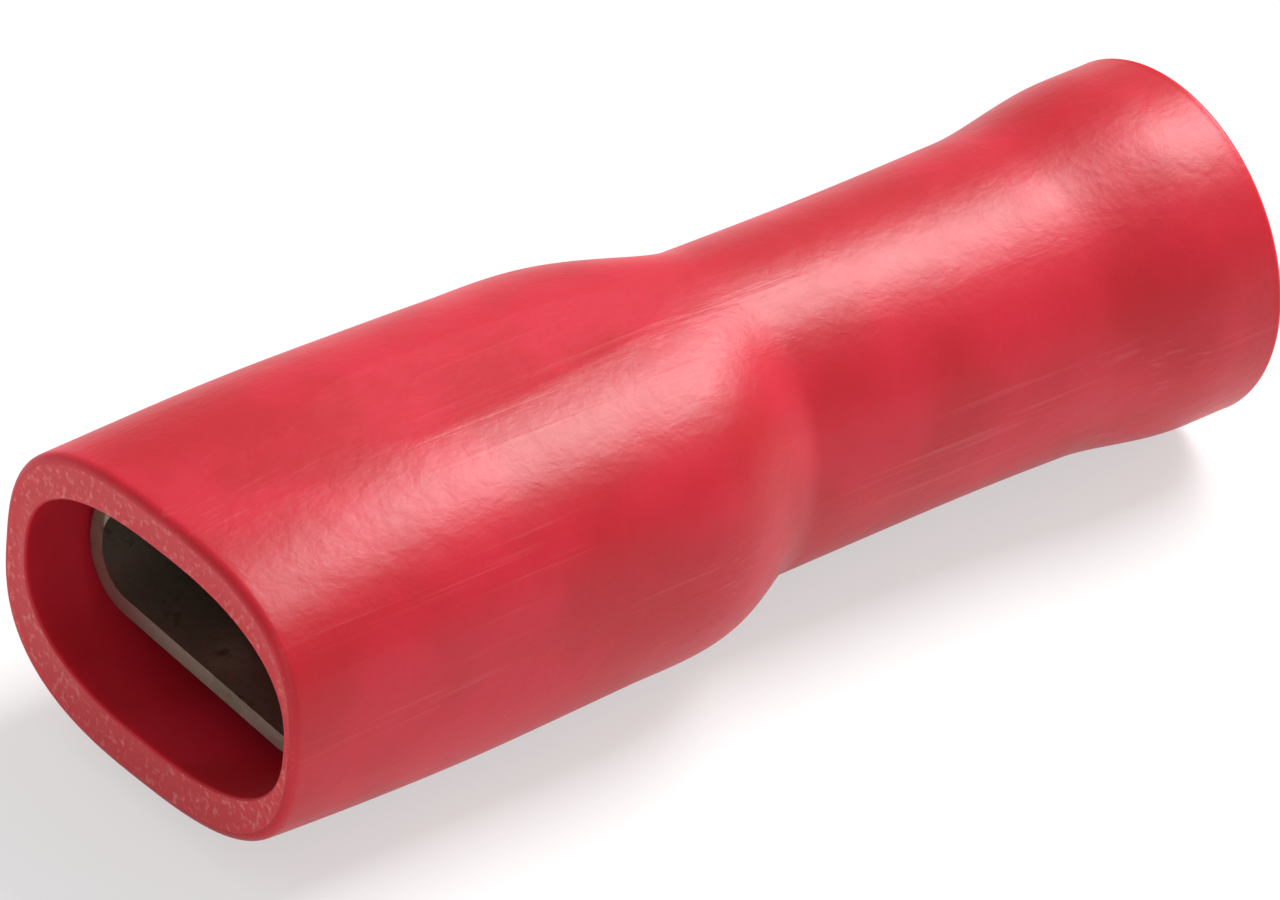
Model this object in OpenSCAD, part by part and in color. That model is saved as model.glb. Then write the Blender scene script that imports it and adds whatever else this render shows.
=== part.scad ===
// Fully insulated female spade terminal: one folded receptacle inside one moulded sleeve.
// The blade goes in at the -X end and the wire at the +X end. The broad side lies down.
// The origin is under the middle of the part, at the height of the surface it lies on.

/* [Blade and wire] */
// Width of the blade tab that the receptacle takes
tab_w = 4.8; // [4.2:0.1:6.3]
// Thickness of the blade tab
tab_t = 0.8; // [0.5:0.05:1]
// Bore of the crimp barrel, for the bared strands
crimp_bore_d = 1.7; // [1.4:0.1:2.3]
// Bore of the sleeve's wire end, for the wire's insulation
entry_bore_d = 4; // [3.4:0.1:5]

/* [Receptacle] */
// Thickness of the tinned brass sheet
sheet_t = 0.3; // [0.25:0.01:0.36]
// Length of the box that holds the tab
box_l = 6.4; // [5.5:0.1:8]
// Room between each edge of the tab and the inside of the rail
tab_side_gap = 0.27; // [0.15:0.01:0.45]
// How much thinner than the tab the slot is before the rails spring
slot_grip = 0.15; // [0.05:0.01:0.25]
// Outer radius of the bend between the base and each rail
bend_r = 1; // [0.6:0.05:1.1]
// Outer radius of the roll along the top of each rail
roll_r = 1.12; // [0.9:0.01:1.2]
// Angle by which each rail's edge curls down past level
roll_over = 10; // [0:1:20]
// How far the rails' inner edges are cut back as a lead-in for the tab
lead_in_l = 1.5; // [0.8:0.1:2.5]
// Distance from the front edge to the middle of the locking dimple
dimple_x = 3.3; // [2.6:0.1:3.8]
// Diameter of the locking dimple
dimple_d = 1.3; // [1:0.1:1.8]
// Height of the locking dimple above the base
dimple_h = 0.2; // [0.12:0.01:0.26]
// Length of the neck between the box and the crimp barrel
neck_l = 3.4; // [2.8:0.1:5]
// Width of the sheet at the neck's waist
waist_w = 3; // [2.4:0.1:3.6]
// Length of the crimp barrel
crimp_l = 5; // [4:0.1:7]
// Gap of the butt seam along the crimp barrel
seam_gap = 0.05; // [0.03:0.01:0.1]
// Depth of the serrations inside the crimp barrel
serration_depth = 0.06; // [0.03:0.01:0.1]
// Width of each serration
serration_w = 0.35; // [0.2:0.05:0.5]

/* [Sleeve mouth] */
// Depth of the receptacle's front edge behind the mouth
recess = 1.2; // [0.6:0.1:2]
// Room between the receptacle and the cavity at each narrow side
side_clear = 0.27; // [0.25:0.01:0.5]
// Room between the receptacle and the cavity at each broad side
flat_clear = 0.7; // [0.4:0.01:1]
// Wall of the mouth at the narrow sides
side_wall = 0.45; // [0.4:0.01:0.9]
// Wall of the mouth at the broad sides
flat_wall = 0.77; // [0.5:0.01:1.2]
// How far the cavity's mouth lies off the sleeve's axis, across its width
core_shift_y = -0.15; // [-0.2:0.01:0.1]
// How far the cavity's mouth lies off the sleeve's axis, upwards
core_shift_z = 0.08; // [-0.2:0.01:0.2]
// Squareness of the mouth's outline, where 2 is an ellipse
mouth_square = 2.73; // [2.2:0.01:3.4]
// Squareness of the cavity
cavity_square = 2.5; // [2.3:0.01:3.2]
// Radius of the mouth's outer edge
lip_r = 0.15; // [0.05:0.01:0.3]

// Distance from the end of the box to where the cavity starts to narrow
taper_lag = 0.4; // [0.2:0.1:0.8]
// Distance from the front of the crimp barrel to where the cavity grips it
seat_lag = 0.8; // [0.6:0.1:1.5]

/* [Sleeve body] */
// Distance from the mouth to the highest point of the broad sides
crown_x = 5.1; // [3:0.1:6]
// How much each broad side rises from the mouth to its highest point
crown_rise = 0.35; // [0.1:0.01:0.5]
// Depth of the flat spot under the body, on which the soft sleeve lies steady
rest_flat = 0.1; // [0.09:0.01:0.12]
// How much the flat spot is dished, so that the sleeve stands on its two edges
rest_dish = 0.03; // [0.02:0.01:0.04]
// How much each narrow side draws in from the mouth to the shoulder
side_draft = 0.14; // [0:0.01:0.25]
// How much each narrow side of the cavity draws in over its length
cavity_draft = 0.1; // [0.05:0.01:0.15]
// Squareness of the outline at the shoulder
shoulder_square = 2.4; // [2.2:0.01:3.2]
// Distance from the end of the box to the start of the shoulder
shoulder_lag = 0.15; // [0:0.05:1.5]
// Length of the shoulder
shoulder_l = 3.8; // [3:0.1:4.5]
// How late the shoulder falls, where 1 falls evenly
shoulder_bias = 1.9; // [1:0.05:2.5]
// Distance from the shoulder to where the broad sides meet the barrel's line
flat_run_l = 5.2; // [3:0.1:5.5]
// How late the broad sides fall to the barrel's line, where 1 falls evenly
flat_bias = 1.7; // [1:0.05:2.5]

/* [Sleeve barrel] */
// Wall round the wire's insulation
entry_wall = 0.63; // [0.5:0.01:1]
// How much the barrel's radius grows towards the wire end
barrel_draft = 0.12; // [0:0.01:0.2]
// Distance from the end of the crimp barrel to the wire end
entry_l = 5; // [4.4:0.1:8]
// Length of the curve that opens the flare
flare_l = 2.6; // [1.5:0.1:3]
// How much the flare adds to the barrel's radius
flare_rise = 0.29; // [0.1:0.01:0.6]
// Length of the straight rim past the flare's curve
rim_l = 1; // [0.5:0.1:1.5]
// Radius of the rim's edges
rim_r = 0.12; // [0.05:0.01:0.25]
// Length of the funnel from the crimp barrel out to the entry bore
funnel_l = 0.6; // [0.3:0.1:1.2]

/* [Fit] */
// Clearance all round between the crimp barrel and its seat in the sleeve
seat_clear = 0.02; // [0.01:0.01:0.05]
// Angle by which the receptacle sits turned in the sleeve
seat_turn = 3.5; // [0:0.5:5]

/* [Hidden] */
$fn = 96;

// A cut runs this far past the face it opens
past = 0.5;
// Faceted and exact solids of one piece overlap by this much, with this step between their skins,
// so that the round one always starts inside the faceted one
lap = 0.25;
skin_step = 0.012;

// The receptacle's section, with its height measured from the axis
box_w = tab_w + 2 * (tab_side_gap + sheet_t);
slot_h = tab_t - slot_grip;
edge_drop = roll_r * sin(roll_over);
roll_h = sheet_t + slot_h + edge_drop;
box_h = roll_h + roll_r;
base_z = -box_h / 2;
base_top_z = base_z + sheet_t;
roll_z = base_z + roll_h;
slot_top_z = base_top_z + slot_h;
corner_r = min(bend_r, roll_h);
crimp_r = crimp_bore_d / 2 + sheet_t;
crimp_mid_r = (crimp_bore_d + sheet_t) / 2;

// Stations along the axis, measured from the mouth
box_x = recess;
neck_x = box_x + box_l;
crimp_x = neck_x + neck_l;
crimp_end_x = crimp_x + crimp_l;
sleeve_l = crimp_end_x + entry_l;
shoulder_x = neck_x + shoulder_lag;
barrel_x = shoulder_x + shoulder_l;
flat_end_x = barrel_x + flat_run_l;
flare_end_x = sleeve_l - rim_l;
flare_x = flare_end_x - flare_l;
cavity_taper_x = neck_x + taper_lag;
seat_x = crimp_x + seat_lag;

// Half sizes of the sleeve's sections
cavity_a = box_w / 2 + side_clear;
cavity_b = box_h / 2 + flat_clear;
mouth_a = cavity_a + side_wall;
mouth_b = cavity_b + flat_wall;
shoulder_a = mouth_a - side_draft;
crown_b = mouth_b + crown_rise;
seat_r = crimp_r + seat_clear;
entry_r = entry_bore_d / 2;
barrel_r = entry_r + entry_wall;
flare_r = barrel_r + barrel_draft + flare_rise;
rest_h = max(crown_b, flare_r);

// Half width of the flat spot, where the section at the highest point crosses it
crown_along = min(crown_x / shoulder_x, 1);
crown_square = mix(mouth_square, shoulder_square, crown_along);
rest_half = mix(mouth_a, shoulder_a, crown_along)
    * pow(1 - pow(1 - rest_flat / crown_b, crown_square), 1 / crown_square);

// How finely the curved skins are divided
outer_points = 64;
cavity_points = 40;
neck_points = 36;

function clamp01(t) = min(max(t, 0), 1);
function ease(t) = let (c = clamp01(t)) c * c * (3 - 2 * c);
function mix(a, b, t) = a + (b - a) * t;
function signed_pow(v, e) = sign(v) * pow(abs(v), e);

// One ring of a superellipse in the plane at x, with half sizes a and b and squareness n
function ring(x, a, b, n, count, shift = [0, 0]) = [
    for (i = [0 : count - 1])
        let (turn = 360 * i / count)
        [x, shift[0] + a * signed_pow(cos(turn), 2 / n), shift[1] + b * signed_pow(sin(turn), 2 / n)]
];

// A closed skin through rings of equal count. Each end is capped in strips across the ring, which
// also closes a ring that is bent into a channel. An odd count ends in a triangle.
module skin(rings) {
    count = len(rings[0]);
    last = (len(rings) - 1) * count;
    sides = [
        for (k = [0 : count : last - count], i = [0 : count - 1])
            let (j = (i + 1) % count)
            [k + count + i, k + count + j, k + j, k + i]
    ];
    front = [
        for (i = [0 : ceil(count / 2) - 2])
            let (j = count - 2 - i)
            i + 1 == j ? [i, j, j + 1] : [i, i + 1, j, j + 1]
    ];
    back = [for (f = front) [for (i = [len(f) - 1 : -1 : 0]) last + f[i]]];
    polyhedron([for (r = rings) each r], concat(front, sides, back));
}

// Radius of the barrel's outside at x
function barrel_radius(x) =
    barrel_r
    + barrel_draft * clamp01((x - barrel_x) / (flare_x - barrel_x))
    + flare_rise * ease((x - flare_x) / flare_l);

// How much the flat spot is dished at y
function dish(y) = rest_dish * (1 - pow(clamp01(abs(y) / rest_half), 2));

// Ring of the sleeve's outside at x, drawn in by inset at the lip and flattened underneath
function outer_ring(x, inset = 0) =
    let (
        fall = ease(pow(clamp01((x - shoulder_x) / shoulder_l), shoulder_bias)),
        flat_fall = ease(pow(clamp01((x - crown_x) / (flat_end_x - crown_x)), flat_bias)),
        along = clamp01(x / shoulder_x),
        side = mix(mix(mouth_a, shoulder_a, along), barrel_radius(x), fall),
        swell = mouth_b + crown_rise * sin(90 * clamp01(x / crown_x)),
        flat = mix(swell, barrel_radius(x), flat_fall),
        land = mix(crown_b - rest_flat, flat, fall),
        square = mix(mix(mouth_square, shoulder_square, along), 2, fall)
    )
    [
        for (p = ring(x, side - inset, flat - inset, square, outer_points))
            [x, p[1], max(p[2], dish(p[1]) - land)]
    ];

// Ring of the cavity at x: the box's room at the mouth, the crimp barrel's seat at the back
function cavity_ring(x, oversize = 0) =
    let (
        fall = ease((x - cavity_taper_x) / (seat_x - cavity_taper_x)),
        along = clamp01(x / seat_x),
        side = mix(cavity_a - cavity_draft * along, seat_r, fall) + oversize,
        flat = mix(cavity_b, seat_r, fall) + oversize,
        shift = (1 - along) * [core_shift_y, core_shift_z]
    )
    ring(x, side, flat, mix(cavity_square, 2, fall), cavity_points, shift);

// A round bar or bore along X, from a station for a length
module round_x(x, length, r1, r2) {
    translate([x, 0, 0])
        rotate([0, 90, 0])
            cylinder(h = length, r1 = r1, r2 = r2);
}

// The mouth, the crowned body, the shoulder and the barrel, as far as it is fully round
module body_outside() {
    lip = [for (a = [0 : 30 : 60]) outer_ring(lip_r * (1 - cos(a)), lip_r * (1 - sin(a)))];
    body_steps = 8;
    shoulder_steps = 12;
    barrel_steps = 5;
    stations = concat(
        [for (k = [0 : body_steps - 1]) mix(lip_r, shoulder_x, k / body_steps)],
        [for (k = [0 : shoulder_steps - 1]) mix(shoulder_x, barrel_x, k / shoulder_steps)],
        [for (k = [0 : barrel_steps]) mix(barrel_x, flat_end_x, k / barrel_steps)]
    );
    skin(concat(lip, [for (x = stations) outer_ring(x)]));
}

// The wire end with its flare and its rounded rim, turned about the axis
module flare_outside() {
    flare_steps = 12;
    start_r = barrel_radius(flat_end_x) - skin_step;
    profile = concat(
        [[flat_end_x - lap, 0], [flat_end_x - lap, start_r], [flat_end_x, start_r]],
        [for (k = [0 : flare_steps]) let (x = flare_x + flare_l * k / flare_steps) [x, barrel_radius(x)]],
        [for (a = [0 : 22.5 : 90]) [sleeve_l - rim_r * (1 - sin(a)), flare_r - rim_r * (1 - cos(a))]],
        [[sleeve_l, 0]]
    );
    rotate([0, 90, 0])
        rotate_extrude()
            polygon([for (p = profile) [p[1], p[0]]]);
}

// The room for the receptacle's box and neck, down to the crimp barrel's seat
module cavity() {
    taper_steps = 12;
    skin(concat(
        [for (x = [-past, cavity_taper_x]) cavity_ring(x)],
        [for (k = [1 : taper_steps]) cavity_ring(mix(cavity_taper_x, seat_x, k / taper_steps), skin_step)]
    ));
}

// The crimp barrel's seat, the funnel, and the bore for the wire's insulation
module wire_way() {
    funnel_x = crimp_end_x + funnel_l;
    rim_x = sleeve_l - rim_l;
    round_x(seat_x - lap, crimp_end_x - seat_x + 2 * lap, seat_r, seat_r);
    round_x(crimp_end_x, funnel_l, seat_r, entry_r);
    round_x(funnel_x, sleeve_l - funnel_x + past, entry_r, entry_r);
    // The entry opens with the flare, so that the wall stays even
    round_x(rim_x, 2 * rim_l, entry_r, entry_r + 2 * flare_rise);
}

module sleeve() {
    color("crimson")
        translate([-sleeve_l / 2, 0, rest_h])
            difference() {
                union() {
                    body_outside();
                    flare_outside();
                }
                cavity();
                wire_way();
            }
}

// A 2D shape in the Y-Z plane, run along X from a station for a length
module along_x(x, length) {
    translate([x, 0, 0])
        rotate([90, 0, 90])
            linear_extrude(length)
                children();
}

// An arc of the sheet with this outer radius, between two angles
module sheet_arc(r, from, to) {
    steps = ceil((to - from) / 45);
    reach = 2 * r;
    intersection() {
        difference() {
            circle(r);
            circle(r - sheet_t);
        }
        polygon(concat(
            [[0, 0]],
            [for (k = [0 : steps]) let (a = mix(from, to, k / steps)) reach * [cos(a), sin(a)]]
        ));
    }
}

// The rail on the +Y side: up from the base, over, and down towards the tab
module rail_section() {
    translate([box_w / 2 - corner_r, base_z + corner_r])
        sheet_arc(corner_r, -90, 0);
    if (roll_h > corner_r)
        translate([box_w / 2 - sheet_t, base_z + corner_r])
            square([sheet_t, roll_h - corner_r]);
    translate([box_w / 2 - roll_r, roll_z])
        sheet_arc(roll_r, 0, 180 + roll_over);
}

// The box's section: a flat base with a rail rolled over at each side
module box_section() {
    base_half = box_w / 2 - corner_r;
    translate([-base_half, base_z])
        square([2 * base_half, sheet_t]);
    rail_section();
    mirror([1, 0])
        rail_section();
}

// The wedge that opens the rails at the front, above the slot
module lead_in() {
    outer_y = box_w / 2 - sheet_t;
    inner_y = box_w / 2 - 2 * roll_r;
    translate([0, 0, slot_top_z - edge_drop / 4])
        linear_extrude(box_h + past)
            polygon([
                [box_x - past, -outer_y], [box_x, -outer_y], [box_x + lead_in_l, -inner_y],
                [box_x + lead_in_l, inner_y], [box_x, outer_y], [box_x - past, outer_y]
            ]);
}

// Radius of the sphere whose cap has the dimple's width and height
dimple_r = (pow(dimple_d / 2, 2) + pow(dimple_h, 2)) / (2 * dimple_h);

// The dimple's sphere, or one inside it, with its poles to the sides and clear of the cap
module dimple_ball(r) {
    translate([box_x + dimple_x, 0, base_top_z + dimple_h - dimple_r])
        rotate([90, 0, 0])
            sphere(r);
}

// The box that takes the tab, with the dimple that snaps into the tab's hole
module box() {
    difference() {
        union() {
            along_x(box_x, box_l)
                box_section();
            intersection() {
                dimple_ball(dimple_r);
                translate([box_x, -dimple_d, base_top_z - sheet_t / 2])
                    cube([box_l, 2 * dimple_d, sheet_t]);
            }
        }
        lead_in();
        dimple_ball(dimple_r - sheet_t);
    }
}

// Ring of the neck at x: a flat strip at the box that narrows, then curls into the crimp barrel
function neck_ring(x, slim = 0) =
    let (
        u = clamp01((x - neck_x) / neck_l),
        waist_u = 0.3,
        flat_u = 0.1,
        start_half = box_w / 2 - corner_r - skin_step,
        end_half = PI * crimp_mid_r - seam_gap * crimp_mid_r / crimp_bore_d - skin_step,
        half = u < waist_u
            ? mix(start_half, waist_w / 2, ease(u / waist_u))
            : mix(waist_w / 2, end_half, ease((u - waist_u) / (1 - waist_u))),
        bend = ease((u - flat_u) / (1 - flat_u)) / crimp_mid_r,
        mid_z = mix(base_z, -crimp_r, ease(u)) + sheet_t / 2,
        skin_t = sheet_t / 2 - slim
    )
    [
        for (face = [-1, 1], k = [0 : neck_points])
            let (
                along = -face * (2 * k / neck_points - 1) * half,
                turn = along * bend * 180 / PI,
                y = bend > 0 ? sin(turn) / bend : along,
                z = bend > 0 ? (1 - cos(turn)) / bend : 0
            )
            [x, y - face * skin_t * sin(turn), mid_z + z + face * skin_t * cos(turn)]
    ];

// The neck, from the back of the box's base to the front of the crimp barrel
module neck() {
    steps = 14;
    sunk = 2 * skin_step;
    skin(concat(
        [for (x = [neck_x - lap, neck_x]) neck_ring(x, sunk)],
        [for (k = [1 : steps - 1]) neck_ring(neck_x + neck_l * k / steps)],
        [for (x = [crimp_x, crimp_x + lap]) neck_ring(x, sunk)]
    ));
}

// The crimp barrel, with its butt seam on top and its serrations inside
module crimp_barrel() {
    bore_r = crimp_bore_d / 2;
    serrations = 3;
    difference() {
        round_x(crimp_x, crimp_l, crimp_r, crimp_r);
        round_x(crimp_x - past, crimp_l + 2 * past, bore_r, bore_r);
        for (k = [1 : serrations])
            round_x(
                crimp_x + crimp_l * k / (serrations + 1) - serration_w / 2,
                serration_w,
                bore_r + serration_depth,
                bore_r + serration_depth
            );
        translate([crimp_x - past, -seam_gap / 2, 0])
            cube([crimp_l + 2 * past, seam_gap, crimp_r + past]);
        // The wire's end is countersunk by half the sheet
        round_x(crimp_end_x - sheet_t / 2, sheet_t, bore_r, bore_r + sheet_t);
    }
}

module receptacle() {
    color([0.62, 0.6, 0.56])
        translate([-sleeve_l / 2, 0, rest_h])
            rotate([seat_turn, 0, 0]) {
                box();
                neck();
                crimp_barrel();
            }
}

sleeve();
receptacle();
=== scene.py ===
"""The looks of a fully insulated female spade terminal.

A soft red vinyl sleeve stands round a folded, tinned receptacle. The lengths in
the classes are millimetres: X runs from the sleeve's mouth to the wire end, and
Y and Z run from the sleeve's axis. Place turns them into the frame's metres.
"""

import logging
import math
from dataclasses import dataclass, field
from enum import Enum
from typing import Iterable, Optional, Sequence, Union

import bpy
import numpy as np
from mathutils import Matrix, Vector


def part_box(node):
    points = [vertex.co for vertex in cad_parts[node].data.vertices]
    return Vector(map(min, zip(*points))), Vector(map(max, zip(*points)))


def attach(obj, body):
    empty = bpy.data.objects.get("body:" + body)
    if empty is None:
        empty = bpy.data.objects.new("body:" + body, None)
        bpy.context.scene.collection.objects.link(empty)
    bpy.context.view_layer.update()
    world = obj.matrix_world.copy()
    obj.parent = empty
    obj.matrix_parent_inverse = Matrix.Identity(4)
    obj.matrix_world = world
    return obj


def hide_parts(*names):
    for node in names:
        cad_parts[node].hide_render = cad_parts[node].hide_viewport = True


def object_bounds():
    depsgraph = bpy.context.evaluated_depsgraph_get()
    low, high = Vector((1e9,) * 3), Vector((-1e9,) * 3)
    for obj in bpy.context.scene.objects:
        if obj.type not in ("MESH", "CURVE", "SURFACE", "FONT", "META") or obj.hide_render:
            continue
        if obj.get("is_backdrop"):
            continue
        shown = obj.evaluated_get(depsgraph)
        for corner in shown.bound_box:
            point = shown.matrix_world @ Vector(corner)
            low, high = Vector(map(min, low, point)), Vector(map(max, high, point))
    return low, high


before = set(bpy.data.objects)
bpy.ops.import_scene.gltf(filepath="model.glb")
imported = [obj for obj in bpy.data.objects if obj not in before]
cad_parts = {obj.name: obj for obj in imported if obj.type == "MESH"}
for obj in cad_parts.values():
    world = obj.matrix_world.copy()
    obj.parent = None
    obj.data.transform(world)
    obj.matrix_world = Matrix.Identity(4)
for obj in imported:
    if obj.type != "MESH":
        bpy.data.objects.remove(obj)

MM = 0.001
SECTION_STEPS = 500
LOG = logging.getLogger("spade_terminal")
Colour = tuple[float, float, float]
Spot = tuple[float, float, float]


def clamp01(t: np.ndarray) -> np.ndarray:
    """The value held between 0 and 1."""
    return np.clip(t, 0.0, 1.0)


def ease(t: np.ndarray) -> np.ndarray:
    """A soft step from 0 to 1."""
    c = clamp01(t)
    return c * c * (3 - 2 * c)


def mix(a: float, b: float, t: float) -> float:
    """The value that lies the share t of the way from a to b."""
    return a + (b - a) * t


def section(half_w: float, half_h: float, square: float, count: int) -> np.ndarray:
    """A superellipse whose points are evenly spaced round it.

    Args:
        half_w: Half its width, along Y.
        half_h: Half its height, along Z.
        square: Its squareness, where 2 is an ellipse.
        count: Number of points, a multiple of four, from +Y towards +Z.

    Returns:
        An array of count (y, z) points.
    """
    quarter = count // 4
    t = np.linspace(0, math.pi / 2, SECTION_STEPS)
    y = half_w * np.abs(np.cos(t)) ** (2 / square)
    z = half_h * np.abs(np.sin(t)) ** (2 / square)
    run = np.concatenate([[0.0], np.cumsum(np.hypot(np.diff(y), np.diff(z)))])
    at = np.linspace(0, run[-1], quarter + 1)
    y, z = np.interp(at, run, y), np.interp(at, run, z)
    y = np.concatenate([y[:-1], -y[:0:-1], -y[:-1], y[:0:-1]])
    z = np.concatenate([z[:-1], z[:0:-1], -z[:-1], -z[:0:-1]])
    return np.stack([y, z], 1)


@dataclass(frozen=True)
class Place:
    """Where the part's mouth and axis lie in the frame, in millimetres."""

    mouth_x: float
    axis_z: float

    @classmethod
    def from_frame(cls) -> "Place":
        """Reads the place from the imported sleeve's box."""
        low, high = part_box("sleeve")
        return cls(low.x / MM, (low.z + high.z) / 2 / MM)

    def put(self, points: np.ndarray) -> np.ndarray:
        """The part's points in millimetres, as the frame's points in metres."""
        return (np.asarray(points) + [self.mouth_x, 0.0, self.axis_z]) * MM


@dataclass
class Skin:
    """A mesh in the making: points, faces, and the finish that each face takes."""

    points: list[np.ndarray] = field(default_factory=list)
    faces: list[tuple[int, ...]] = field(default_factory=list)
    finishes: list[int] = field(default_factory=list)
    count: int = 0

    def add_ring(self, points: np.ndarray) -> np.ndarray:
        """Adds a ring of points.

        Args:
            points: An array of (x, y, z) rows.

        Returns:
            The points' numbers.
        """
        self.points.append(points)
        self.count += len(points)
        return np.arange(self.count - len(points), self.count)

    def add_band(self, a: Sequence[int], b: Sequence[int], finish: int) -> None:
        """Fills the band between two closed rings with four-sided faces.

        Args:
            a: The first ring's point numbers.
            b: The second ring's, as many.
            finish: The finish that the faces take.
        """
        for i in range(len(a)):
            j = (i + 1) % len(a)
            self.faces.append((int(a[i]), int(a[j]), int(b[j]), int(b[i])))
            self.finishes.append(finish)

    def piece(self, name: str, place: Place, materials: Iterable[bpy.types.Material]) -> bpy.types.Object:
        """Makes the Blender object.

        Args:
            name: The piece's name.
            place: Where it lies in the frame.
            materials: Its finishes, in the order that the faces number them.

        Returns:
            The object, with smooth shading.
        """
        mesh = bpy.data.meshes.new(name)
        mesh.from_pydata(place.put(np.concatenate(self.points)).tolist(), [], self.faces)
        for material in materials:
            mesh.materials.append(material)
        mesh.polygons.foreach_set("material_index", self.finishes)
        mesh.polygons.foreach_set("use_smooth", [True] * len(self.faces))
        mesh.update()
        piece = bpy.data.objects.new(name, mesh)
        bpy.context.scene.collection.objects.link(piece)
        return piece


class Socket:
    """A node's output that takes part in Python expressions."""

    def __init__(self, graph: "Graph", source: bpy.types.NodeSocket) -> None:
        """Wraps an output socket of the graph."""
        self.graph = graph
        self.source = source

    @property
    def is_number(self) -> bool:
        """Whether the socket carries a plain number."""
        return self.source.type in ("VALUE", "INT", "BOOLEAN")

    def _join(self, operation: str, a: "Term", b: "Term") -> "Socket":
        """Adds the Math or Vector Math node of one operation.

        Args:
            operation: The node's operation.
            a: The first term.
            b: The second term.

        Returns:
            The node's output.
        """
        both = (a, b)
        if all(x.is_number if isinstance(x, Socket) else isinstance(x, (int, float)) for x in both):
            return self.graph.add("ShaderNodeMath", {"operation": operation}, {0: a, 1: b})
        if operation == "MULTIPLY" and isinstance(b, (int, float)):
            return self.graph.add("ShaderNodeVectorMath", {"operation": "SCALE"}, {0: a, "Scale": b})
        spread = [(x, x, x) if isinstance(x, (int, float)) else x for x in both]
        return self.graph.add("ShaderNodeVectorMath", {"operation": operation}, dict(enumerate(spread)))

    def __add__(self, other: "Term") -> "Socket":
        """self + other."""
        return self._join("ADD", self, other)

    __radd__ = __add__

    def __sub__(self, other: "Term") -> "Socket":
        """self - other."""
        return self._join("SUBTRACT", self, other)

    def __rsub__(self, other: "Term") -> "Socket":
        """other - self."""
        return self._join("SUBTRACT", other, self)

    def __mul__(self, other: "Term") -> "Socket":
        """self * other."""
        return self._join("MULTIPLY", self, other)

    __rmul__ = __mul__

    def most(self, other: "Term") -> "Socket":
        """The larger of self and other."""
        return self._join("MAXIMUM", self, other)

    def step(self, low: float, high: float) -> "Socket":
        """A soft step from 0 at low to 1 at high."""
        inputs = {"Value": self, "From Min": low, "From Max": high}
        return self.graph.add("ShaderNodeMapRange", {"interpolation_type": "SMOOTHSTEP"}, inputs)


Term = Union[Socket, float, int, tuple]


class Graph:
    """The node tree of one material or world, filled through one method."""

    def __init__(self, tree: bpy.types.NodeTree) -> None:
        """Takes over a node tree and empties it."""
        self.tree = tree
        tree.nodes.clear()

    @classmethod
    def of_material(cls, name: str) -> tuple[bpy.types.Material, "Graph"]:
        """Makes a new material.

        Args:
            name: The material's name.

        Returns:
            The material and its graph.
        """
        material = bpy.data.materials.new(name)
        material.use_nodes = True
        return material, cls(material.node_tree)

    def add(
        self, kind: str, settings: dict, inputs: dict, output: Union[int, str] = 0
    ) -> Optional[Socket]:
        """Adds a node.

        Args:
            kind: The node's type.
            settings: Its settings, set before its sockets.
            inputs: The value or link of each socket, by its name or number.
            output: The output that is wanted, by its name or number.

        Returns:
            That output, or None for a node that has none.
        """
        node = self.tree.nodes.new(kind)
        for name, value in settings.items():
            setattr(node, name, value)
        for name, value in inputs.items():
            socket = node.inputs[name]
            if isinstance(value, Socket):
                self.tree.links.new(value.source, socket)
            elif socket.type == "RGBA" and len(value) == 3:
                socket.default_value = (*value, 1.0)
            else:
                socket.default_value = value
        return Socket(self, node.outputs[output]) if len(node.outputs) else None

    def millimetres(self) -> Socket:
        """The surface point in the frame, in millimetres."""
        return self.add("ShaderNodeTexCoord", {}, {}, "Object") * (1 / MM)

    def noise(
        self, at: Socket, detail: float = 2.0, roughness: float = 0.5, distortion: float = 0.0
    ) -> Socket:
        """Noise from about 0.3 to 0.7, with features about one unit across.

        Args:
            at: The point where it is wanted.
            detail: How many finer layers lie on it.
            roughness: How strong those layers are.
            distortion: How far it is twisted.

        Returns:
            The noise as a number.
        """
        inputs = {"Vector": at, "Scale": 1.0, "Detail": detail, "Roughness": roughness}
        inputs["Distortion"] = distortion
        return self.add("ShaderNodeTexNoise", {"noise_dimensions": "3D"}, inputs)

    def blend(self, share: Term, a: Term, b: Term) -> Socket:
        """A colour that lies the given share of the way from a to b."""
        return self.add("ShaderNodeMix", {"data_type": "RGBA"}, {0: share, 6: a, 7: b}, 2)

    def bump(self, height: Socket, depth: float) -> Socket:
        """A normal from a height, where 1 stands for a depth in millimetres."""
        return self.add("ShaderNodeBump", {}, {"Height": height, "Distance": depth * MM, "Strength": 1.0})

    def finish(self, shader: Socket) -> None:
        """Links the shader to the output."""
        owner = "World" if self.tree.id_data.id_type == "WORLD" else "Material"
        self.add(f"ShaderNodeOutput{owner}", {}, {"Surface": shader})


class VinylFace(Enum):
    """The three kinds of surface on the moulded sleeve."""

    OUTSIDE = "outside"
    CUT = "cut"
    INSIDE = "inside"


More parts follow.
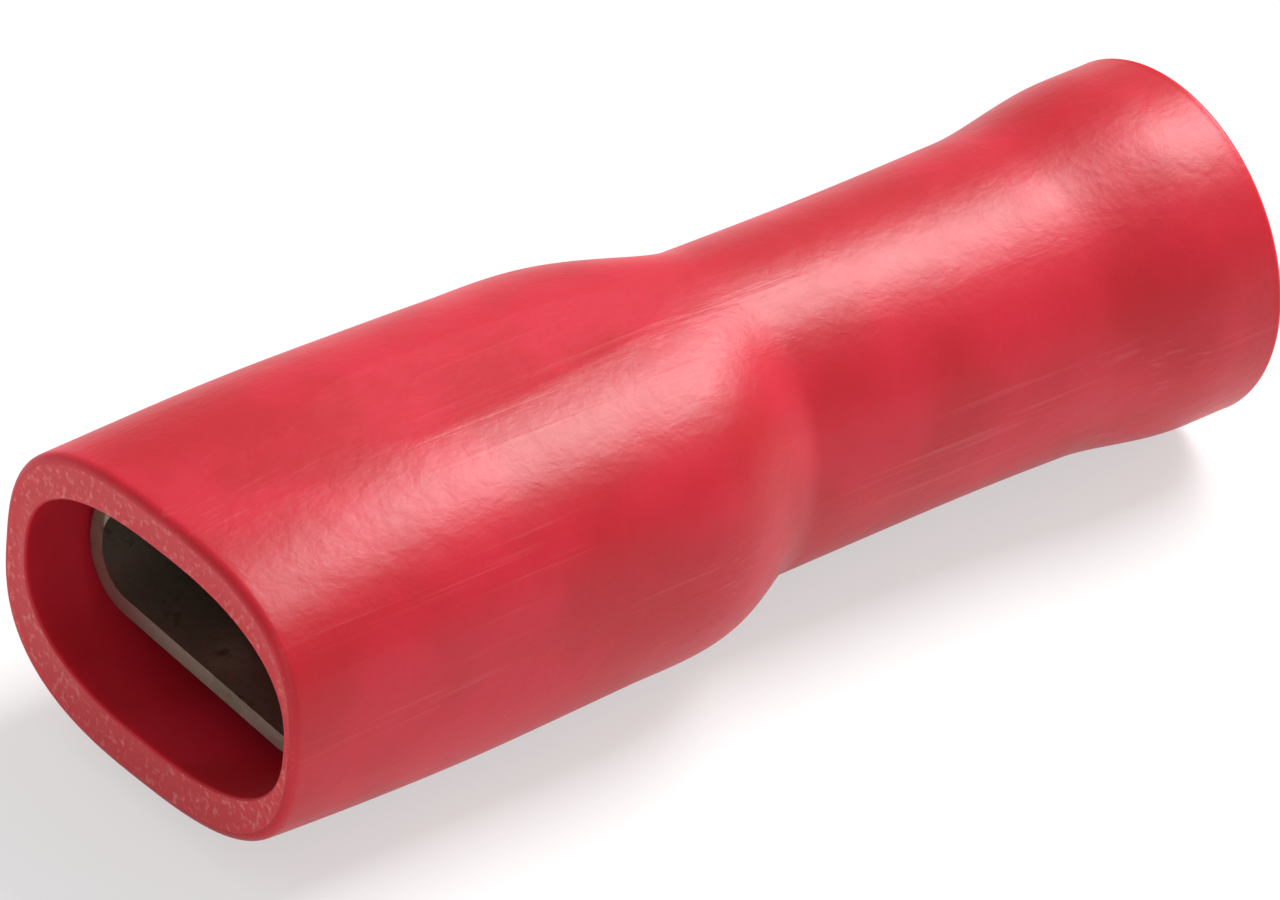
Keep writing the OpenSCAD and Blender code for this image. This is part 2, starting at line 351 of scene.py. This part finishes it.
@dataclass(frozen=True)
class VinylFinish:
    """Soft crimson vinyl: a fine leathery grain, drag lines along it that carry a painted highlight, and a paler
    cut.

    A pitch is the number of features in a millimetre, and a depth is in millimetres.
    """

    crimson: Colour = (0.56, 0.012, 0.032)
    deep: Colour = (0.47, 0.008, 0.018)
    cut: Colour = (0.60, 0.040, 0.050)
    # The highlight's pink: a painted highlight on the drag lines, and pale scuff flecks on the cut face.
    scuff_and_highlight: Colour = (0.78, 0.30, 0.28)
    cloud_pitch: float = 0.45

    roughness: float = 0.42
    rough_pitch: float = 1.7
    rough_swing: float = 0.06
    cut_rougher: float = 0.12
    inside_rougher: float = 0.08
    gloss: float = 0.36
    glow: float = 0.45
    glow_reach: Colour = (0.55, 0.06, 0.04)

    grain_size: float = 0.11
    grain_along: float = 0.8
    grain_depth: float = 0.0045
    grain_warp: float = 2.4
    warp_pitch: float = 1.3
    swell_pitch: float = 2.6
    swell_depth: float = 0.012

    drag_size: float = 0.09
    drag_depth: float = 0.008
    drag_pitch_along: float = 0.10
    # How far the drag lines are painted towards the highlight's pink: painted highlight.
    drag_highlight_share: float = 0.12
    patch_pitch: float = 1.1
    patch_pitch_along: float = 0.12

    fleck_pitch: float = 9.0
    fleck_paler: float = 0.5
    cut_pitch: float = 14.0
    cut_depth: float = 0.006
    inside_pitch: float = 5.0
    inside_depth: float = 0.004

    def material(self, face: VinylFace) -> bpy.types.Material:
        """Makes the material for one kind of surface.

        Args:
            face: Outside, cut or inside.

        Returns:
            The material.
        """
        material, graph = Graph.of_material(f"vinyl_{face.value}")
        at = graph.millimetres()
        cloud = graph.noise(at * self.cloud_pitch, 3.0).step(0.35, 0.65)
        colour = graph.blend(cloud, self.crimson, self.deep)
        rough = self.roughness + self.rough_swing * (graph.noise(at * self.rough_pitch) - 0.5)
        if face is VinylFace.OUTSIDE:
            height, lines = self._relief(graph, at)
            # Painted highlight: the drag lines are painted paler, towards the highlight's pink; their relief is
            # real.
            colour = graph.blend(lines * self.drag_highlight_share, colour, self.scuff_and_highlight)
            normal = graph.bump(height, 1.0)
        elif face is VinylFace.CUT:
            fleck = graph.noise(at * self.fleck_pitch).step(0.5, 0.8)
            colour = graph.blend(fleck * self.fleck_paler, self.cut, self.scuff_and_highlight)
            rough = rough + self.cut_rougher
            normal = graph.bump(graph.noise(at * self.cut_pitch), self.cut_depth)
        else:
            rough = rough + self.inside_rougher
            normal = graph.bump(graph.noise(at * self.inside_pitch), self.inside_depth)
        graph.finish(graph.add("ShaderNodeBsdfPrincipled", {"subsurface_method": "RANDOM_WALK"}, {
            "Base Color": colour,
            "Roughness": rough,
            "Specular IOR Level": self.gloss,
            "Subsurface Weight": self.glow,
            "Subsurface Radius": self.glow_reach,
            "Subsurface Scale": MM,
            "Normal": normal,
        }))
        return material

    def _relief(self, graph: Graph, at: Socket) -> tuple[Socket, Socket]:
        """The height of the outside, in millimetres, and where its drag lines are.

        Args:
            graph: The material's graph.
            at: The surface point in millimetres.

        Returns:
            The height and the drag lines' mask, which also carries the painted highlight.
        """
        pitch = 1 / self.grain_size
        warp = graph.noise(at * self.warp_pitch, 1.0) * self.grain_warp
        grain = graph.noise(at * (self.grain_along * pitch, pitch, pitch) + warp, 3.0, 0.55, 0.5)
        swell = graph.noise(at * self.swell_pitch)
        across = 1 / self.drag_size
        drag = graph.noise(at * (self.drag_pitch_along, across, across), 2.0, 0.6)
        patch = graph.noise(at * (self.patch_pitch_along, self.patch_pitch, self.patch_pitch), 1.0)
        where = patch.step(0.45, 0.7)
        # Where the drag lines take the painted highlight.
        lines = drag.step(0.55, 0.72) * where
        height = grain * self.grain_depth + swell * self.swell_depth + (drag * where) * self.drag_depth
        return height, lines


@dataclass(frozen=True)
class TinFinish:
    """Dull tin plate over brass, with brown stains.

    A pitch is the number of features in a millimetre, and a depth is in millimetres.
    """

    plate: Colour = (0.40, 0.36, 0.30)
    olive: Colour = (0.26, 0.23, 0.17)
    stain: Colour = (0.10, 0.055, 0.035)
    metal: float = 0.9
    cloud_pitch: float = 1.1
    blot_pitch: float = 2.2
    blot_share: float = 0.7
    roughness: float = 0.38
    cloud_rougher: float = 0.16
    blot_rougher: float = 0.15
    rolled_pitch: float = 14.0
    rolled_pitch_along: float = 0.5
    pit_pitch: float = 12.0
    relief_depth: float = 0.004

    def material(self) -> bpy.types.Material:
        """Makes the plate's material.

        Returns:
            The material.
        """
        material, graph = Graph.of_material("tin_plate")
        at = graph.millimetres()
        cloud = graph.noise(at * self.cloud_pitch, 4.0, 0.6).step(0.35, 0.65)
        blots = graph.noise(at * self.blot_pitch, 5.0, 0.65, 0.6).step(0.56, 0.68)
        colour = graph.blend(cloud, self.plate, self.olive)
        colour = graph.blend(blots * self.blot_share, colour, self.stain)
        rolled = graph.noise(at * (self.rolled_pitch_along, self.rolled_pitch, self.rolled_pitch))
        pits = graph.noise(at * self.pit_pitch, 3.0, 0.6)
        graph.finish(graph.add("ShaderNodeBsdfPrincipled", {}, {
            "Base Color": colour,
            "Roughness": self.roughness + self.cloud_rougher * cloud + self.blot_rougher * blots,
            "Metallic": self.metal,
            "Normal": graph.bump(rolled * self.relief_depth + pits * self.relief_depth, 1.0),
        }))
        return material


@dataclass(frozen=True)
class SagWave:
    """One wave of the draw-in round the sleeve: waves per turn, radians per mm, phase and size."""

    turns: float
    along: float
    phase: float
    size: float


@dataclass
class Sleeve:
    """The moulded vinyl sleeve: a flat mouth, a crowned body, a shoulder, a barrel and a flare."""

    place: Place
    finish: VinylFinish = field(default_factory=VinylFinish)
    length: float = 21.0
    mouth_half_w: float = 3.69
    mouth_half_h: float = 2.602
    mouth_square: float = 2.73
    shoulder_half_w: float = 3.55
    shoulder_square: float = 2.4
    shoulder_x: float = 7.75
    shoulder_l: float = 3.8
    shoulder_bias: float = 1.9
    crown_x: float = 5.1
    crown_rise: float = 0.35
    rest_flat: float = 0.05
    flat_end_x: float = 16.75
    flat_bias: float = 1.7
    barrel_r: float = 2.63
    barrel_draft: float = 0.12
    flare_x: float = 17.4
    flare_l: float = 2.6
    flare_rise: float = 0.29
    lip_r: float = 0.15
    cut_r: float = 0.05
    cut_wave: float = 0.012
    rim_r: float = 0.12
    cavity_half_w: float = 3.24
    cavity_half_h: float = 1.832
    cavity_square: float = 2.5
    cavity_draft: float = 0.1
    cavity_start_x: float = 0.15
    cavity_taper_x: float = 8.0
    core_shift: tuple[float, float] = (-0.15, 0.08)
    seat_x: float = 11.8
    seat_l: float = 0.5
    seat_end_x: float = 16.0
    seat_r: float = 1.17
    funnel_l: float = 0.6
    entry_r: float = 2.0
    entry_start_l: float = 0.2
    entry_opens_x: float = 20.0
    entry_edge: float = 0.04
    entry_edge_l: float = 0.03
    waviness: float = 0.02
    waviness_r: float = 3.0
    waves: tuple[SagWave, ...] = (
        SagWave(2.0, 0.45, 0.7, 1.0),
        SagWave(3.0, -0.8, 2.1, 0.7),
        SagWave(5.0, 1.3, 4.0, 0.5),
    )
    around: int = 256
    outside_rings: int = 206
    corner_rings: int = 7
    cut_rings: int = 9
    cavity_rings: int = 30
    taper_rings: int = 20
    entry_rings: int = 12

    def barrel_radius(self, x: float) -> float:
        """Radius of the barrel's outside.

        Args:
            x: The station.

        Returns:
            The radius, with the mould's draft and the flare.
        """
        barrel_x = self.shoulder_x + self.shoulder_l
        drafted = clamp01((x - barrel_x) / (self.flare_x - barrel_x))
        flared = ease((x - self.flare_x) / self.flare_l)
        return self.barrel_r + self.barrel_draft * drafted + self.flare_rise * flared

    def outer_ring(self, x: float, inset: float = 0.0) -> np.ndarray:
        """One ring of the outside.

        Args:
            x: Its station.
            inset: How far the ring is drawn in, as at the lip.

        Returns:
            The ring's points.
        """
        fall = ease(clamp01((x - self.shoulder_x) / self.shoulder_l) ** self.shoulder_bias)
        run = (x - self.crown_x) / (self.flat_end_x - self.crown_x)
        flat_fall = ease(clamp01(run) ** self.flat_bias)
        along = clamp01(x / self.shoulder_x)
        radius = self.barrel_radius(x)
        half_w = mix(mix(self.mouth_half_w, self.shoulder_half_w, along), radius, fall)
        swell = self.mouth_half_h + self.crown_rise * math.sin(math.pi / 2 * clamp01(x / self.crown_x))
        half_h = mix(swell, radius, flat_fall)
        square = mix(mix(self.mouth_square, self.shoulder_square, along), 2.0, fall)
        ring = section(half_w - inset, half_h - inset, square, self.around)
        land = mix(self.mouth_half_h + self.crown_rise - self.rest_flat, half_h, fall)
        ring[:, 1] = np.clip(ring[:, 1], -land, land)
        return self._stand(ring * (1 - self._sag(ring, x)[:, None]), x)

    def _sag(self, ring: np.ndarray, x: float) -> np.ndarray:
        """How far the vinyl has drawn in from its mould.

        Args:
            ring: The (y, z) points of a ring.
            x: Its station.

        Returns:
            The draw-in of each point, as a share of its distance from the axis.
        """
        turn = np.arctan2(ring[:, 1], ring[:, 0])
        wave = sum(w.size * np.sin(w.turns * turn + w.along * x + w.phase) for w in self.waves)
        most = sum(w.size for w in self.waves)
        return self.waviness / self.waviness_r * (wave + most) / (2 * most)

    def _stand(self, ring: np.ndarray, x: float) -> np.ndarray:
        """Stands a ring of (y, z) points at x."""
        return np.column_stack([np.full(len(ring), float(x)), ring])

    def cavity_ring(self, x: float, outset: float = 0.0) -> np.ndarray:
        """One ring of the cavity.

        Args:
            x: Its station.
            outset: How far the ring is drawn out, as at the cut's edge.

        Returns:
            The ring's points.
        """
        fall = ease((x - self.cavity_taper_x) / (self.seat_x - self.cavity_taper_x))
        along = clamp01(x / self.seat_x)
        half_w = mix(self.cavity_half_w - self.cavity_draft * along, self.seat_r, fall) + outset
        half_h = mix(self.cavity_half_h, self.seat_r, fall) + outset
        ring = section(half_w, half_h, mix(self.cavity_square, 2.0, fall), self.around)
        return self._stand(ring + (1 - along) * np.array(self.core_shift), x)

    def bore_ring(self, x: float, radius: float) -> np.ndarray:
        """One round ring."""
        return self._stand(section(radius, radius, 2.0, self.around), x)

    def _corner(self) -> np.ndarray:
        """The angles of the rings that round a corner off."""
        return np.linspace(0, math.pi / 2, self.corner_rings)

    def _outside(self) -> list[np.ndarray]:
        """The rings of the rounded rim, the outside and the rounded lip.

        Returns:
            The rings, from the wire end to the mouth.
        """
        start = self.length - self.rim_r
        rim = self.barrel_radius(self.length) - self.rim_r
        rings = [
            self.bore_ring(start + self.rim_r * math.cos(a), rim + self.rim_r * math.sin(a))
            for a in self._corner()[:-1]
        ]
        rings += [self.outer_ring(x) for x in np.linspace(start, self.lip_r, self.outside_rings)]
        rings += [
            self.outer_ring(self.lip_r * (1 - math.sin(a)), self.lip_r * (1 - math.cos(a)))
            for a in self._corner()[1:]
        ]
        return rings

    def _cut(self, outer: np.ndarray) -> list[np.ndarray]:
        """The rings of the faintly wavy cut face.

        Args:
            outer: The ring that bounds it.

        Returns:
            The rings that follow, inwards to the cavity's edge.
        """
        inner = self.cavity_ring(0, self.cut_r)
        rings = []
        for share in np.linspace(0, 1, self.cut_rings)[1:]:
            ring = mix(outer, inner, share)
            turn = np.arctan2(ring[:, 2], ring[:, 1])
            bulge = self.cut_wave * share * (1 - share) * 4
            ring[:, 0] = bulge * (1.2 + np.sin(4 * turn + 1) * np.sin(2.3 * turn))
            rings.append(ring)
        return rings

    def _cavity(self) -> list[np.ndarray]:
        """The rings of the cavity.

        Returns:
            The rings, from the rounded edge of the cut to the seat.
        """
        rings = [
            self.cavity_ring(self.cut_r * (1 - math.cos(a)), self.cut_r * (1 - math.sin(a)))
            for a in self._corner()[1:]
        ]
        level = np.linspace(self.cavity_start_x, self.cavity_taper_x, self.cavity_rings)
        taper = np.linspace(self.cavity_taper_x, self.seat_x, self.taper_rings)[1:]
        return rings + [self.cavity_ring(x) for x in np.concatenate([level, taper])]

    def _wire_way(self) -> list[np.ndarray]:
        """The rings of the seat, the funnel and the wire's entry.

        Returns:
            The rings, from the seat to the rim.
        """
        funnel_x = self.seat_end_x + self.funnel_l
        entry_x = funnel_x + self.entry_start_l
        opened = self.entry_r + self.flare_rise
        way = [(self.seat_end_x - self.seat_l, self.seat_r), (self.seat_end_x, self.seat_r)]
        way += [(funnel_x, self.entry_r)]
        way += [(x, self.entry_r) for x in np.linspace(entry_x, self.entry_opens_x, self.entry_rings)]
        way += [(mix(self.entry_opens_x, self.length, k), mix(self.entry_r, opened, k)) for k in (0.3, 0.6, 0.9)]
        way += [(self.length - self.entry_edge_l, opened), (self.length, opened + self.entry_edge)]
        return [self.bore_ring(x, r) for x, r in way]

    def rings(self) -> list[tuple[np.ndarray, VinylFace]]:
        """All rings in order: the rim, the outside, the lip, the cut, the cavity and the wire way.

        Returns:
            Each ring with the kind of surface that runs from it to the next.
        """
        outside = self._outside()
        cut = self._cut(outside[-1])
        inside = self._cavity() + self._wire_way()
        kinds = [VinylFace.OUTSIDE] * (len(outside) - 1)
        kinds += [VinylFace.CUT] * (len(cut) + 1)
        kinds += [VinylFace.INSIDE] * (len(inside) - 1)
        kinds += [VinylFace.OUTSIDE]
        return list(zip(outside + cut + inside, kinds))

    def build(self) -> bpy.types.Object:
        """Builds the sleeve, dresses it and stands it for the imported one.

        Returns:
            The piece.
        """
        skin = Skin()
        kinds = list(VinylFace)
        rows = [(skin.add_ring(ring), kinds.index(kind)) for ring, kind in self.rings()]
        for (a, kind), (b, _) in zip(rows, rows[1:] + rows[:1]):
            skin.add_band(a, b, kind)
        piece = skin.piece("vinyl_sleeve", self.place, [self.finish.material(kind) for kind in kinds])
        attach(piece, "root")
        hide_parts("sleeve")
        return piece


@dataclass
class Receptacle:
    """The folded sheet: a flat base with two rolled rails, a neck and a crimp barrel."""

    finish: TinFinish = field(default_factory=TinFinish)

    def build(self) -> bpy.types.Object:
        """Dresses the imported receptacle.

        Returns:
            The piece.
        """
        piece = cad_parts["receptacle"]
        piece.data.materials.clear()
        piece.data.materials.append(self.finish.material())
        return piece


@dataclass(frozen=True)
class Lamp:
    """A soft lamp: its direction from the part, its distance and size in metres, and its watts."""

    name: str
    toward: Spot
    distance: float
    size: tuple[float, float]
    power: float

    def hang(self, middle: Vector) -> None:
        """Hangs the lamp so that it faces the part.

        Args:
            middle: The middle of the part.
        """
        data = bpy.data.lights.new(self.name, "AREA")
        data.shape = "RECTANGLE"
        data.size, data.size_y = self.size
        data.energy = self.power
        lamp = bpy.data.objects.new(self.name, data)
        away = Vector(self.toward).normalized()
        lamp.location = middle + away * self.distance
        lamp.rotation_euler = away.to_track_quat("Z", "Y").to_euler()
        bpy.context.scene.collection.objects.link(lamp)


@dataclass
class Studio:
    """A pale floor, a broad soft lamp above, a weak one in front, and an even sky."""

    middle: Vector
    floor_half: float = 1.2
    floor_grey: Colour = (0.82, 0.82, 0.82)
    floor_seen_white: float = 0.55
    white: Colour = (1.0, 1.0, 1.0)
    sky: float = 0.45
    lamps: tuple[Lamp, ...] = (
        Lamp("key", (0.62, 0.06, 0.78), 0.40, (0.20, 0.16), 2.1),
        Lamp("front", (-0.55, -0.62, 0.35), 0.50, (0.30, 0.30), 0.35),
    )

    def build(self) -> None:
        """Builds the floor, the sky and the lamps."""
        self._floor()
        self._sky()
        for lamp in self.lamps:
            lamp.hang(self.middle)

    def _floor(self) -> None:
        """Lays a wide floor under the part, seen only from above."""
        h = self.floor_half
        mesh = bpy.data.meshes.new("floor")
        mesh.from_pydata([(-h, -h, 0), (h, -h, 0), (h, h, 0), (-h, h, 0)], [], [(0, 1, 2, 3)])
        floor = bpy.data.objects.new("floor", mesh)
        bpy.context.scene.collection.objects.link(floor)
        material, graph = Graph.of_material("pale_floor")
        seen = self._seen(graph)
        diffuse = graph.add("ShaderNodeBsdfDiffuse", {}, {"Color": self.floor_grey})
        white = graph.add("ShaderNodeEmission", {}, {"Color": self.white, "Strength": 1.0})
        lit = graph.add("ShaderNodeMixShader", {}, {0: seen * self.floor_seen_white, 1: diffuse, 2: white})
        back = graph.add("ShaderNodeNewGeometry", {}, {}, "Backfacing")
        clear = graph.add("ShaderNodeBsdfTransparent", {}, {})
        graph.finish(graph.add("ShaderNodeMixShader", {}, {0: back, 1: lit, 2: clear}))
        mesh.materials.append(material)
        floor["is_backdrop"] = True

    @staticmethod
    def _seen(graph: Graph) -> Socket:
        """What the camera, a gloss or a clear piece sees.

        Args:
            graph: The floor's graph.

        Returns:
            1 for such a ray and 0 for any other.
        """
        path = graph.add("ShaderNodeLightPath", {}, {}, "Is Camera Ray")
        outputs = path.source.node.outputs
        glossy = Socket(graph, outputs["Is Glossy Ray"])
        return path.most(glossy).most(Socket(graph, outputs["Is Transmission Ray"]))

    def _sky(self) -> None:
        """Sets an even sky."""
        world = bpy.data.worlds.new("even_sky")
        world.use_nodes = True
        bpy.context.scene.world = world
        graph = Graph(world.node_tree)
        graph.finish(graph.add("ShaderNodeBackground", {}, {"Color": self.white, "Strength": self.sky}))


@dataclass(frozen=True)
class Viewpoint:
    """A long lens that looks down on the part from the mouth's side.

    Angles are in degrees, and the distance, the aim, the lens and the sensor in
    millimetres. The clipping distances are in metres.
    """

    turn: float = 42.459
    height: float = 34.535
    roll: float = 5.162
    distance: float = 232.93
    aim: Spot = (-0.384, 0.154, 2.827)
    lens: float = 411.15
    sensor: float = 36.0
    clip: tuple[float, float] = (0.01, 10.0)

    def build(self) -> None:
        """Makes the camera and sets it as the scene's."""
        turn, height, roll = (math.radians(a) for a in (self.turn, self.height, self.roll))
        level_l = math.cos(height)
        forward = Vector((math.sin(turn) * level_l, math.cos(turn) * level_l, -math.sin(height)))
        level = forward.cross(Vector((0, 0, 1))).normalized()
        upright = level.cross(forward)
        right = math.cos(roll) * level + math.sin(roll) * upright
        up = right.cross(forward)
        data = bpy.data.cameras.new("camera")
        data.lens = self.lens
        data.sensor_width = self.sensor
        data.clip_start, data.clip_end = self.clip
        camera = bpy.data.objects.new("camera", data)
        spot = (Vector(self.aim) - forward * self.distance) * MM
        rotation = Matrix((right, up, -forward)).transposed()
        camera.matrix_world = Matrix.Translation(spot) @ rotation.to_4x4()
        bpy.context.scene.collection.objects.link(camera)
        bpy.context.scene.camera = camera


def main() -> None:
    """Builds the pieces in order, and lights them."""
    logging.basicConfig(level=logging.INFO, format="%(name)s: %(message)s")
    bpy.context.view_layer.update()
    bpy.context.scene.view_settings.view_transform = "Standard"
    Viewpoint().build()
    for piece in (Sleeve(Place.from_frame()).build(), Receptacle().build()):
        LOG.info("%s: %d faces", piece.name, len(piece.data.polygons))
    low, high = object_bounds()
    Studio((Vector(low) + Vector(high)) / 2).build()


if __name__ == "__main__":
    main()
